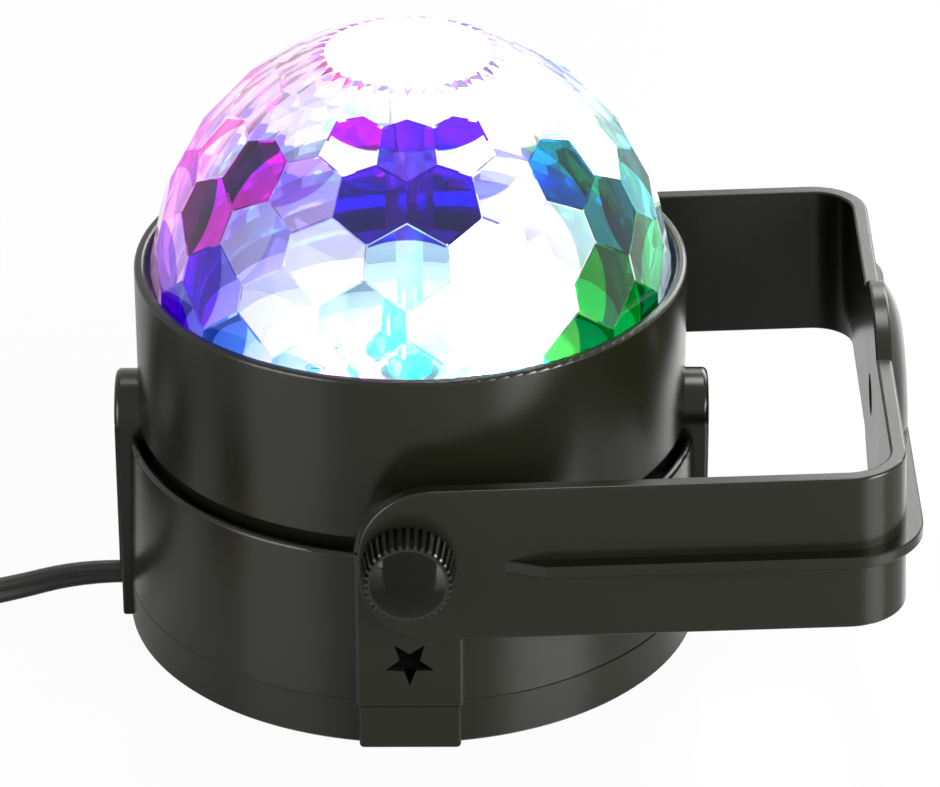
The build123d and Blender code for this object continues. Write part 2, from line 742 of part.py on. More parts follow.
def coil_place(turn):
    if turn < coil_turns_per_layer:
        radius = coil_outer - coil_pitch * turn
        height = coil_base
    elif turn > coil_turns_per_layer + coil_reverse_turns:
        radius = coil_outer - coil_pitch * (coil_share - turn)
        height = tail_height
    else:
        climb = (turn - coil_turns_per_layer) / coil_reverse_turns
        radius = coil_inner - coil_pitch / 2 * math.sin(math.pi * climb) / math.pi
        height = coil_base + coil_layer_rise * (1 - math.cos(math.pi * climb)) / 2
    angle = -math.pi / 2 - 2 * math.pi * turn
    return Vector(coil_centre_x + radius * math.cos(angle), coil_centre_y + radius * math.sin(angle), height)


def coil_heading(turn):
    return (coil_place(turn + heading_step) - coil_place(turn - heading_step)).normalized()


def two_arcs(start, heading, end, leaving):
    chord = end - start
    a = 2 * (heading.dot(leaving) - 1)
    b = -2 * chord.dot(heading + leaving)
    c = chord.dot(chord)
    arm = (-b - math.sqrt(b * b - 4 * a * c)) / (2 * a)
    first = start + heading * arm
    last = end - leaving * arm
    middle = (first + last) * 0.5
    return [TangentArc(start, middle, tangent=heading), TangentArc(middle, end, tangent=(last - first))]


def coil_path():
    quarters = round(4 * coil_share)
    arcs = []
    for i in range(quarters):
        here = coil_share * i / quarters
        there = coil_share * (i + 1) / quarters
        arcs += two_arcs(coil_place(here), coil_heading(here), coil_place(there), coil_heading(there))
    return arcs


def lead_coil():
    arcs = coil_path()
    path = Wire(arcs)
    places = [arc @ (k / 8) for arc in arcs for k in range(8)]
    spacing = path.length / len(places)
    skip = round(3 * lead_radius * 2 / spacing)
    least = min((places[i] - places[j]).length for i in range(len(places))
                for j in range(i + skip, len(places)))
    print("coil length", round(path.length, 1), "least gap to itself", round(least - 2 * lead_radius, 2))
    section = Plane(path @ 0, z_dir=path % 0) * Circle(lead_radius)
    return sweep(section, path=path)


def coil_tie():
    inner_radius = coil_inner - lead_radius - tie_clearance
    outer_radius = coil_outer + lead_radius + tie_clearance
    width = outer_radius - inner_radius
    low = coil_base - lead_radius - tie_clearance
    high = tail_height + lead_radius + tie_clearance
    hole = Rectangle(width, high - low)
    band = Rectangle(width + 2 * tie_thickness, high - low + 2 * tie_thickness)
    band = fillet(band.vertices(), 2 * tie_thickness) - fillet(hole.vertices(), tie_thickness)
    ring = extrude(Plane.XZ * band, amount=tie_width / 2, both=True)
    middle = (inner_radius + outer_radius) / 2
    return Pos(coil_centre_x, coil_centre_y, (low + high) / 2) * Rot(0, 0, 90) * Pos(middle, 0, 0) * ring


def plug_body():
    back = Plane.YZ * RectangleRounded(plug_width * plug_taper_share, plug_height * plug_taper_share,
                                       plug_round * plug_taper_share)
    middle = Plane.YZ.offset(plug_length / 3) * RectangleRounded(plug_width, plug_height, plug_round)
    front = Plane.YZ.offset(plug_length) * RectangleRounded(plug_width, plug_height, plug_round)
    body = loft([back, middle], ruled=True) + loft([middle, front], ruled=True)
    neck = Rot(0, 90, 0) * Cylinder(plug_neck_radius, plug_neck_length, align=BASE)
    step = plug_neck_length / (2 * plug_neck_ribs)
    grooves = [Pos(step * (2 * i + 1), 0, 0) * Rot(0, 90, 0) * (
        Cylinder(plug_neck_radius + overrun, step, align=BASE)
        - Cylinder(plug_neck_radius - step / 2, step, align=BASE)) for i in range(plug_neck_ribs - 1)]
    body = Pos(plug_neck_length, 0, 0) * body + (neck - grooves)
    slots = [Pos(plug_neck_length + plug_length - blade_root, s * blade_spacing / 2, 0) * Box(
        2 * blade_root, blade_thickness, blade_height, align=(Align.MIN, Align.CENTER, Align.CENTER))
        for s in (1, -1)]
    return Pos(*tail_route[-1]) * (body - slots)


def plug_blades():
    start = plug_neck_length + plug_length - blade_root
    blade = Box(blade_length + blade_root, blade_thickness, blade_height,
                align=(Align.MIN, Align.CENTER, Align.CENTER))
    tip = blade.faces().sort_by(Axis.X)[-1].edges().filter_by(Axis.Y)
    blade = chamfer(tip, blade_thickness)
    return [Pos(*tail_route[-1]) * Pos(start, s * blade_spacing / 2, 0) * blade for s in (1, -1)]


half_turn = Rot(0, 0, 180)
nodes = {
    "upper_housing": upper_housing(),
    "lower_housing": lower_housing(),
    "bottom_cover": bottom_cover(),
    "cover_screws": cover_screws(),
    "lead_bush": lead_bush(),
    "deck_plate": deck_plate(),
    "light_board": light_board(),
    "lamp_red": lamp(1),
    "lamp_green": lamp(2),
    "lamp_blue": lamp(0),
    "gearbox": gearbox(),
    "motor_can": motor_can(),
    "motor_screws": motor_screws(),
    "power_board": power_board(),
    "board_screws": board_screws(),
    "transformer": transformer(),
    "capacitors": capacitors(),
    "control_chip": control_chip(),
    "microphone": microphone(),
    "pivot_inserts": [pivot_insert(), half_turn * pivot_insert()],
    "friction_washers": [friction_washer(), half_turn * friction_washer()],
    "crystal_dome": crystal_dome(),
    "dome_spindle": dome_spindle(),
    "output_shaft": output_shaft(),
    "bracket": bracket(),
    "knob_front": pivot_knob(),
    "knob_cap_front": knob_cap(),
    "pivot_stud_front": pivot_stud(),
    "knob_back": half_turn * pivot_knob(),
    "knob_cap_back": half_turn * knob_cap(),
    "pivot_stud_back": half_turn * pivot_stud(),
    "lead_free_run": lead_tube(lead_route, "lead_free_run"),
    "lead_coil": lead_coil(),
    "lead_tail": lead_tube(tail_route, "lead_tail"),
    "coil_tie": coil_tie(),
    "plug_body": plug_body(),
    "plug_blades": plug_blades(),
}

os.makedirs("parts", exist_ok=True)
for name, shape in nodes.items():
    solid = Compound(shape) if isinstance(shape, list) else shape
    export_step(solid, f"parts/{name}.step")
print(len(nodes), "nodes")
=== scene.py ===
import math
import random

import bmesh
import bpy
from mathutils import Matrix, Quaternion, Vector


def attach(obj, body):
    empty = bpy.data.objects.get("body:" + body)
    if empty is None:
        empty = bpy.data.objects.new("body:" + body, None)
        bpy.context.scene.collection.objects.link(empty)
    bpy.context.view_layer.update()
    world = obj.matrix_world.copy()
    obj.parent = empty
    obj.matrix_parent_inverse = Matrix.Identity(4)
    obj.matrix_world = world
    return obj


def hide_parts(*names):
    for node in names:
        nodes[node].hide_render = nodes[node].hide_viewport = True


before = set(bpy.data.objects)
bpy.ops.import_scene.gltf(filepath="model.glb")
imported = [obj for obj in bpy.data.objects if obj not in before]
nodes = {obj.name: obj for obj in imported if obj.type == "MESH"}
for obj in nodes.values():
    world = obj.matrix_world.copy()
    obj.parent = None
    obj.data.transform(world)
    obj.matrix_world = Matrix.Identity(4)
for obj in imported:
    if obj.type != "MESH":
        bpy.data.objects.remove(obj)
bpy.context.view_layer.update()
print("frame loaded:", len(nodes), "nodes")

scene = bpy.context.scene


# Camera, at the photograph's angle
camera = {
    "place": (0.010557, -0.679116, 0.391395),
    "aim": (0.008978, 0.0, 0.036115),
    "roll": -0.18,  # degrees
    "lens": 190.03,  # millimetres
    "sensor": 36,  # millimetres
    "clip": (0.05, 20),
}


def makeCamera(opts):
    data = bpy.data.cameras.new("camera")
    data.sensor_width = opts["sensor"]
    data.lens = opts["lens"]
    data.clip_start, data.clip_end = opts["clip"]
    obj = bpy.data.objects.new("camera", data)
    scene.collection.objects.link(obj)
    forward = Vector(opts["aim"]) - Vector(opts["place"])
    roll = Quaternion((0, 0, 1), math.radians(opts["roll"]))
    obj.rotation_mode = "QUATERNION"
    obj.location = opts["place"]
    obj.rotation_quaternion = forward.to_track_quat("-Z", "Y") @ roll
    scene.camera = obj


makeCamera(camera)
print("camera done")


# Shared shader effects
def groupInput(group, name, value):
    socket = group.interface.new_socket(name=name, in_out="INPUT", socket_type="NodeSocketFloat")
    socket.default_value = value


def groupOutput(group, name):
    group.interface.new_socket(name=name, in_out="OUTPUT", socket_type="NodeSocketFloat")


def addNode(tree, kind, **settings):
    node = tree.nodes.new(kind)
    for key, value in settings.items():
        setattr(node, key, value)
    return node


# Moulded grain: fine pits with a slow change of sheen, on object coordinates
grainLook = {
    "scale": 2500.0,
    "detail": 3,
    "slowScale": 45,
    "slowDetail": 2,
    "roughness": 0.35,
    "variation": 0.08,
}


def mouldGrainGroup(opts):
    group = bpy.data.node_groups.new("mouldGrain", "ShaderNodeTree")
    groupInput(group, "Scale", opts["scale"])
    groupInput(group, "Roughness", opts["roughness"])
    groupInput(group, "Variation", opts["variation"])
    groupOutput(group, "Roughness")
    groupOutput(group, "Height")
    groupOutput(group, "Tone")
    entry = addNode(group, "NodeGroupInput")
    leave = addNode(group, "NodeGroupOutput")
    place = addNode(group, "ShaderNodeTexCoord")
    fine = addNode(group, "ShaderNodeTexNoise")
    fine.inputs["Detail"].default_value = opts["detail"]
    slow = addNode(group, "ShaderNodeTexNoise")
    slow.inputs["Scale"].default_value = opts["slowScale"]
    slow.inputs["Detail"].default_value = opts["slowDetail"]
    shift = addNode(group, "ShaderNodeMath", operation="SUBTRACT")
    shift.inputs[1].default_value = 0.5  # the noise's mean
    spread = addNode(group, "ShaderNodeMath", operation="MULTIPLY_ADD")
    link = group.links.new
    link(place.outputs["Object"], fine.inputs["Vector"])
    link(place.outputs["Object"], slow.inputs["Vector"])
    link(entry.outputs["Scale"], fine.inputs["Scale"])
    link(slow.outputs["Fac"], shift.inputs[0])
    link(shift.outputs[0], spread.inputs[0])
    link(entry.outputs["Variation"], spread.inputs[1])
    link(entry.outputs["Roughness"], spread.inputs[2])
    link(spread.outputs[0], leave.inputs["Roughness"])
    link(fine.outputs["Fac"], leave.inputs["Height"])
    link(slow.outputs["Fac"], leave.inputs["Tone"])
    return group


mouldGrain = mouldGrainGroup(grainLook)


def newMaterial(name):
    material = bpy.data.materials.new(name)
    material.use_nodes = True
    tree = material.node_tree
    return material, tree, tree.nodes["Principled BSDF"]


def addGrain(tree, roughness):
    grain = addNode(tree, "ShaderNodeGroup", node_tree=mouldGrain)
    grain.inputs["Roughness"].default_value = roughness
    return grain


# A share that goes smoothly from start to end between two heights, on object coordinates
def heightFade(tree, heights, start, end):
    place = addNode(tree, "ShaderNodeTexCoord")
    split = addNode(tree, "ShaderNodeSeparateXYZ")
    fade = addNode(tree, "ShaderNodeMapRange", interpolation_type="SMOOTHSTEP")
    fade.inputs["From Min"].default_value, fade.inputs["From Max"].default_value = heights
    fade.inputs["To Min"].default_value, fade.inputs["To Max"].default_value = start, end
    tree.links.new(place.outputs["Object"], split.inputs[0])
    tree.links.new(split.outputs["Z"], fade.inputs["Value"])
    return fade.outputs["Result"]


def mixColours(tree, share, first, second):
    mix = addNode(tree, "ShaderNodeMix", data_type="RGBA")
    mix.inputs["A"].default_value = (*first, 1)
    mix.inputs["B"].default_value = (*second, 1)
    tree.links.new(share, mix.inputs["Factor"])
    return mix.outputs["Result"]


black = (0, 0, 0)
white = (1, 1, 1)

plainDefaults = {
    "variation": 0.08,
    "bump": 0.05,
    "bumpDepth": 0.0001,
    "lift": 1.25,  # the lighter tone of the grain against the darker
    "metallic": 0,
    "specular": 0.5,
}
finishes = {
    "housingBlack": {"colour": (0.0045, 0.005, 0.0022), "roughness": 0.24, "bump": 0.1,
                     "specular": 0.3},
    "bracketBlack": {"colour": (0.0045, 0.005, 0.0022), "roughness": 0.25, "bump": 0.12,
                     "specular": 0.28},
    "knobBlack": {"colour": (0.006, 0.006, 0.005), "roughness": 0.22, "specular": 0.35},
    "capBlack": {"colour": (0.002, 0.0022, 0.001), "roughness": 0.06, "variation": 0.02, "bump": 0.01,
                 "specular": 0.15},
    "nylonBlack": {"colour": (0.012, 0.012, 0.012), "roughness": 0.45, "specular": 0.35},
    "rubberBlack": {"colour": (0.011, 0.011, 0.011), "roughness": 0.5, "bump": 0.1, "specular": 0.35},
    "flexBlack": {"colour": (0.005, 0.005, 0.0045), "roughness": 0.36, "bump": 0.06, "specular": 0.4},
    "screwSteel": {"colour": (0.58, 0.58, 0.6), "roughness": 0.3, "metallic": 1.0},
    "turnedBrass": {"colour": (0.75, 0.55, 0.25), "roughness": 0.3, "metallic": 1.0},
    "deckWhite": {"colour": (0.8, 0.81, 0.83), "roughness": 0.25, "lift": 1.05},
    "boardWhite": {"colour": (0.82, 0.82, 0.8), "roughness": 0.4, "lift": 1.05},
    "motorMetal": {"colour": (0.55, 0.55, 0.56), "roughness": 0.35, "metallic": 1.0},
    "feltBlack": {"colour": (0.001, 0.001, 0.001), "roughness": 0.9, "bump": 0.4, "specular": 0.02},
    "boardGreen": {"colour": (0.03, 0.13, 0.05), "roughness": 0.35},
    "coreGrey": {"colour": (0.06, 0.055, 0.05), "roughness": 0.6},
    "canDark": {"colour": (0.02, 0.02, 0.035), "roughness": 0.3},
    "chipBlack": {"colour": (0.012, 0.012, 0.012), "roughness": 0.5},
}


def plainShade(name, opts):
    material, tree, shader = newMaterial(name)
    grain = addGrain(tree, opts["roughness"])
    grain.inputs["Variation"].default_value = opts["variation"]
    bump = addNode(tree, "ShaderNodeBump")
    bump.inputs["Strength"].default_value = opts["bump"]
    bump.inputs["Distance"].default_value = opts["bumpDepth"]
    lighter = [c * opts["lift"] for c in opts["colour"]]
    tone = mixColours(tree, grain.outputs["Tone"], opts["colour"], lighter)
    link = tree.links.new
    link(tone, shader.inputs["Base Color"])
    link(grain.outputs["Roughness"], shader.inputs["Roughness"])
    link(grain.outputs["Height"], bump.inputs["Height"])
    link(bump.outputs["Normal"], shader.inputs["Normal"])
    shader.inputs["Metallic"].default_value = opts["metallic"]
    shader.inputs["Specular IOR Level"].default_value = opts["specular"]
    return material


shades = {name: plainShade(name, {**plainDefaults, **opts}) for name, opts in finishes.items()}

finishOf = {
    "housingBlack": ["upper_housing", "lower_housing", "bottom_cover"],
    "bracketBlack": ["bracket"],
    "knobBlack": ["knob_front", "knob_back"],
    "capBlack": ["knob_cap_front", "knob_cap_back"],
    "nylonBlack": ["friction_washers", "coil_tie"],
    "rubberBlack": ["lead_bush", "plug_body"],
    "screwSteel": ["cover_screws", "motor_screws", "board_screws", "output_shaft",
                   "pivot_stud_front", "pivot_stud_back"],
    "turnedBrass": ["pivot_inserts", "plug_blades"],
    "deckWhite": ["deck_plate"],
    "boardWhite": ["light_board"],
    "motorMetal": ["gearbox", "motor_can"],
    "feltBlack": ["microphone"],
    "boardGreen": ["power_board"],
    "coreGrey": ["transformer"],
    "canDark": ["capacitors"],
    "chipBlack": ["control_chip"],
}


def dress(obj, material):
    obj.data.materials.clear()
    obj.data.materials.append(material)


for finish, names in finishOf.items():
    for name in names:
        dress(nodes[name], shades[finish])


# Lamps: lit lenses in three colours, brightest low down where the chip sits
lampLook = {
    "heights": (0.0, 0.003),  # above the foot of the lamp
    "light": (1.0, 0.6),  # share of the light at those heights
    "lens": (0.8, 0.8, 0.8),
    "roughness": 0.1,
}
lamps = {
    "lamp_red": {"colour": (1.0, 0.03, 0.22), "strength": 400},
    "lamp_green": {"colour": (0.02, 1.0, 0.35), "strength": 400},
    "lamp_blue": {"colour": (0.08, 0.08, 1.0), "strength": 600},
}


def lampMaterial(name, obj, opts, look):
    material, tree, shader = newMaterial(name)
    grain = addGrain(tree, look["roughness"])
    foot = min(v.co.z for v in obj.data.vertices)
    fade = heightFade(tree, [foot + h for h in look["heights"]], *look["light"])
    glow = mixColours(tree, fade, black, opts["colour"])
    tree.links.new(grain.outputs["Roughness"], shader.inputs["Roughness"])
    tree.links.new(glow, shader.inputs["Emission Color"])
    shader.inputs["Base Color"].default_value = (*look["lens"], 1)
    shader.inputs["Emission Strength"].default_value = opts["strength"]
    return material


for name, opts in lamps.items():
    dress(nodes[name], lampMaterial(name, nodes[name], opts, lampLook))
print("lamps done")


# Cut facet: two zones with a curved border across the facet, and a painted sheen that rises along the
# cut's direction, on its own coordinates
cutLook = {
    "bow": 0.25,
    "softness": 0.06,
    "paintedSheenReach": 0.9,
}


def cutFacetGroup(opts):
    group = bpy.data.node_groups.new("cutFacet", "ShaderNodeTree")
    groupInput(group, "Bow", opts["bow"])
    groupInput(group, "Softness", opts["softness"])
    groupOutput(group, "Share")
    groupOutput(group, "Painted Sheen")
    entry = addNode(group, "NodeGroupInput")
    leave = addNode(group, "NodeGroupOutput")
    place = addNode(group, "ShaderNodeUVMap", uv_map="facetPlace")
    cut = addNode(group, "ShaderNodeAttribute", attribute_name="facetCut")
    cutParts = addNode(group, "ShaderNodeSeparateXYZ")
    along = addNode(group, "ShaderNodeVectorMath", operation="DOT_PRODUCT")
    flat = addNode(group, "ShaderNodeVectorMath", operation="MULTIPLY")
    flat.inputs[1].default_value = (1, 1, 0)
    reach = addNode(group, "ShaderNodeVectorMath", operation="DOT_PRODUCT")
    bowed = addNode(group, "ShaderNodeMath", operation="MULTIPLY_ADD")
    above = addNode(group, "ShaderNodeMath", operation="SUBTRACT")
    step = addNode(group, "ShaderNodeMapRange", interpolation_type="SMOOTHSTEP")
    step.inputs["From Min"].default_value = 0
    # Painted sheen: the glow rises across the facet along the cut's direction
    paintedSheen = addNode(group, "ShaderNodeMapRange")
    paintedSheen.inputs["From Min"].default_value = -opts["paintedSheenReach"]
    paintedSheen.inputs["From Max"].default_value = opts["paintedSheenReach"]
    link = group.links.new
    link(cut.outputs["Vector"], cutParts.inputs[0])
    link(cut.outputs["Vector"], flat.inputs[0])
    link(place.outputs["UV"], along.inputs[0])
    link(flat.outputs[0], along.inputs[1])
    link(place.outputs["UV"], reach.inputs[0])
    link(place.outputs["UV"], reach.inputs[1])
    link(reach.outputs["Value"], bowed.inputs[0])
    link(entry.outputs["Bow"], bowed.inputs[1])
    link(along.outputs["Value"], bowed.inputs[2])
    link(bowed.outputs[0], above.inputs[0])
    link(cutParts.outputs["Z"], above.inputs[1])
    link(above.outputs[0], step.inputs["Value"])
    link(entry.outputs["Softness"], step.inputs["From Max"])
    link(along.outputs["Value"], paintedSheen.inputs["Value"])
    link(step.outputs["Result"], leave.inputs["Share"])
    link(paintedSheen.outputs["Result"], leave.inputs["Painted Sheen"])
    return group


cutFacet = cutFacetGroup(cutLook)

# Working on the CAD meshes of the clear pieces
meshWork = {
    "mergeDistance": 1e-6,
    "flatAngle": 0.3,  # degrees; faces that meet flatter than this become one
    "smoothAngle": 25,  # degrees; edges sharper than this stay sharp
    "level": 0.999,  # a face whose normal is steeper than this lies level
}


def mergedCopy(node, work):
    shape = bmesh.new()
    shape.from_mesh(node.data)
    bmesh.ops.remove_doubles(shape, verts=shape.verts, dist=work["mergeDistance"])
    bmesh.ops.dissolve_limit(shape, angle_limit=math.radians(work["flatAngle"]), verts=shape.verts,
                             edges=shape.edges)
    return shape


def keepSharpEdges(shape, work):
    for edge in shape.edges:
        edge.smooth = edge.calc_face_angle(0) < math.radians(work["smoothAngle"])


def makePiece(name, shape, material, slotName, body, *replaced):
    mesh = bpy.data.meshes.new(name)
    shape.to_mesh(mesh)
    shape.free()
    obj = bpy.data.objects.new(name, mesh)
    scene.collection.objects.link(obj)
    dress(obj, material)
    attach(obj, body)
    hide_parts(*replaced)


# Crystal dome: the CAD facets with their edges rounded; the lamps' light shining through is painted onto
# the facets as colour and glow
crystal = {
    "centre": (0.0, 0.0, 0.05675),
    "ior": 1.5,
    "edgeRound": 0.00022,
    "edgeSteps": 2,
    "edgeAngle": 4,  # degrees; edges flatter than this aren't rounded
    "edgeFoot": 0.0001,  # no edge is rounded lower than this above the centre
    "facetReach": 0.0385,  # faces further from the centre than this belong to the facets
    "cavityReach": 0.0375,  # faces nearer than this belong to the cavity
    "facetSize": 0.0058,
    "toothDepth": 0.0009,
    "toothSlope": (0.6, 0.8),  # height of the normal on the flanks of the teeth
    "capHeight": 0.037,
    "capSkin": 1e-5,
    "seed": 11,
    "paintedLightStrength": 1.0,
    "paintedSheen": (0.5, 0.75),  # painted sheen: how much the painted glow changes across a facet, and where it starts
    # Painted spots of lamp light: azimuth, latitude and reach in degrees, colour, glow, second colour,
    # its glow, cut direction, cut
    "paintedLightSpots": [
        (-110, 54.5, 9, (0.3, 0.0, 0.48), 0.4, (1.0, 1.0, 1.0), 0.8, -100, 0.05),
        (-90, 54.5, 9, (0.02, 0.0, 0.34), 0.35, (0.05, 0.01, 0.55), 0.4, -90, 0.1),
        (-70, 54.5, 9, (0.012, 0.0, 0.45), 0.4, (1.0, 1.0, 1.0), 0.8, -80, 0.05),
        (-100, 41.4, 9, (0.01, 0.0, 0.34), 0.45, (0.002, 0.0, 0.12), 0.4, -90, -0.3),
        (-80, 41.4, 9, (0.004, 0.0, 0.16), 0.4, (0.001, 0.0, 0.07), 0.4, -60, -0.3),
        (-120, 41.4, 9, (0.28, 0.1, 0.66), 0.55, (0.48, 0.38, 0.86), 0.5, -45, 0.1),
        (-140, 41.4, 9, (0.56, 0.0, 0.46), 0.6, (0.004, 0.0, 0.006), 0.1, 160, 0.0),
        (-150, 28, 9, (0.01, 0.0, 0.01), 0.05, (0.55, 0.0, 0.5), 0.6, 10, 0.2),
        (-140, 15, 9, (0.03, 0.0, 0.6), 0.45, (0.15, 0.12, 0.85), 0.5, 0, 0.3),
        (-160, 15, 9, (0.22, 0.03, 0.75), 0.45, (0.7, 0.35, 0.95), 0.4, 60, 0.2),
        (-130, 28, 9, (0.42, 0.4, 0.85), 0.55, (0.26, 0.22, 0.78), 0.6, -10, 0.4),
        (-110, 28, 9, (0.46, 0.49, 0.86), 0.5, (0.6, 0.64, 0.94), 0.5, -60, 0.3),
        (-120, 15, 9, (0.42, 0.47, 0.88), 0.5, (0.24, 0.28, 0.8), 0.55, 80, 0.35),
        (-130, 2, 12, (0.01, 0.08, 0.6), 0.5, (0.2, 0.5, 0.9), 0.5, -20, 0.2),
        (-150, 2, 12, (0.03, 0.0, 0.65), 0.5, (0.06, 0.06, 0.55), 0.4, 40, 0.2),
        (-110, 2, 12, (0.15, 0.7, 0.8), 0.4, (0.6, 0.92, 1.0), 0.3, 60, 0.0),
        (-90, 2, 12, (0.9, 1.0, 1.0), 0.05, (0.8, 1.0, 1.0), 0.05, 90, 0.3),
        (-90, 28, 9, (0.5, 0.78, 0.98), 0.65, (0.02, 0.02, 0.5), 0.4, 90, 0.66),
        (-100, 15, 9, (0.46, 0.76, 0.9), 0.5, (0.16, 0.68, 0.8), 0.5, -20, 0.45),
        (-170, 28, 10, (0.75, 0.2, 0.72), 0.4, (0.4, 0.0, 0.35), 0.4, 100, 0.3),
        (-160, 41.4, 9, (0.98, 0.8, 0.95), 0.3, (0.75, 0.06, 0.32), 0.5, 150, 0.45),
        (-40, 41.4, 9, (0.0, 0.08, 0.45), 0.5, (0.0, 0.03, 0.04), 0.2, 20, 0.15),
        (-30, 28, 9, (0.0, 0.02, 0.03), 0.1, (0.0, 0.25, 0.25), 0.45, 170, 0.25),
        (-10, 28, 10, (0.03, 0.5, 0.55), 0.5, (0.0, 0.06, 0.06), 0.2, 30, 0.2),
        (-40, 15, 9, (0.0, 0.5, 0.01), 0.5, (0.0, 0.08, 0.01), 0.3, -10, 0.0),
        (-20, 15, 9, (0.01, 0.5, 0.1), 0.5, (0.0, 0.08, 0.02), 0.3, 120, 0.2),
        (-50, 2, 12, (0.03, 0.45, 0.02), 0.5, (0.0, 0.16, 0.01), 0.4, 0, 0.0),
        (-30, 2, 12, (0.0, 0.32, 0.01), 0.5, (0.0, 0.1, 0.01), 0.3, 0, 0.2),
        (-60, 41.4, 9, (0.3, 0.34, 0.82), 0.5, (1.0, 1.0, 1.0), 0.85, -70, -0.1),
        (-50, 28, 9, (1.0, 1.0, 1.0), 0.85, (0.6, 0.94, 0.94), 0.6, 10, 0.4),
    ],
    # Azimuth in degrees, colour and glow of the painted washed-out lamp light between the spots
    "pale": [
        (-180, (0.82, 0.42, 0.76), 0.25), (-130, (0.5, 0.46, 0.86), 0.4),
        (-100, (0.6, 0.66, 0.95), 0.45), (-78, (0.97, 0.99, 1.0), 0.85),
        (-45, (0.97, 1.0, 1.0), 0.85), (0, (0.66, 0.88, 0.98), 0.2),
    ],
    "paleTop": [
        (-180, (0.92, 0.58, 0.74), 0.15), (-130, (0.96, 0.8, 0.92), 0.2), (-90, (0.98, 0.95, 1.0), 0.3),
        (-55, (0.82, 0.8, 0.98), 0.2), (0, (0.62, 0.6, 0.95), 0.15),
    ],
    "paleShade": (0.75, 0.95),  # the second colour of a pale facet of painted light against its first
    "paleCut": 0.3,
    "topBand": (0.72, 0.1),  # where the top's painted light sets in, and over what height
    # Painted light lines on the rounded facet edges: azimuth in degrees, colour and glow
    "edges": [
        (-180, (0.8, 0.3, 0.6), 0.2), (-130, (0.5, 0.28, 0.75), 0.25), (-90, (0.33, 0.28, 0.75), 0.35),
        (-50, (0.35, 0.4, 0.75), 0.35), (0, (0.25, 0.5, 0.7), 0.2),
    ],
    # Painted highlight that lightens the rounded edges towards the top
    "topEdge": (0.97, 0.86, 0.96),
    "topEdgeBand": (0.72, 0.2),
    "topEdgeShare": 0.6,
    # Painted white lamp light on the cap, with its glow
    "cap": ((1.0, 1.0, 1.0), 0.75),
    # Painted lamp light on the teeth: azimuth in degrees, colour and glow
    "teeth": [
        (-180, (0.95, 0.2, 0.5), 0.2), (-120, (0.9, 0.08, 0.5), 0.2), (-90, (0.95, 0.6, 0.9), 0.35),
        (-50, (0.4, 0.1, 0.8), 0.2), (0, (0.6, 0.45, 0.95), 0.2),
    ],
}
uncut = (0, 0, 2)  # a cut that lies beyond the facet


def between(stops, at):
    for (a, colourA, glowA), (b, colourB, glowB) in zip(stops, stops[1:]):
        if at <= b:
            share = (at - a) / (b - a)
            return Vector(colourA).lerp(Vector(colourB), share), glowA + (glowB - glowA) * share
    return Vector(stops[-1][1]), stops[-1][2]


def risen(height, start, span):
    return min(max((height - start) / span, 0), 1)


def onBall(azimuth, latitude):
    a, b = math.radians(azimuth), math.radians(latitude)
    return Vector((math.cos(b) * math.cos(a), math.cos(b) * math.sin(a), math.sin(b)))


# The back half mirrors the front half
def foldedAzimuth(out):
    return -abs(math.degrees(math.atan2(out.y, out.x)))


# A facet's two colours of painted lamp light with their glow, and its cut: the nearest painted spot's,
# or else pale ones
def facetLook(out, chance, opts):
    azimuth = foldedAzimuth(out)
    latitude = math.degrees(math.asin(out.z))
    place = onBall(azimuth, latitude)
    pale, paleGlow = between(opts["pale"], azimuth)
    topColour, topGlow = between(opts["paleTop"], azimuth)
    high = risen(out.z, *opts["topBand"])
    pale = pale.lerp(topColour, high)
    paleGlow += (topGlow - paleGlow) * high
    turn = math.radians(chance.uniform(0, 360))
    lower = chance.uniform(*opts["paleShade"])
    cut = (math.cos(turn), math.sin(turn), opts["paleCut"])
    best, look = 0, (pale, paleGlow, pale * lower, paleGlow * lower, cut)
    for spotAzimuth, spotLatitude, reach, *zones, direction, border in opts["paintedLightSpots"]:
        away = math.degrees(place.angle(onBall(spotAzimuth, spotLatitude), 0))
        if away < reach and reach - away > best:
            best = reach - away
            turn = math.radians(direction)
            look = *zones, (math.cos(turn), math.sin(turn), border)
    return look


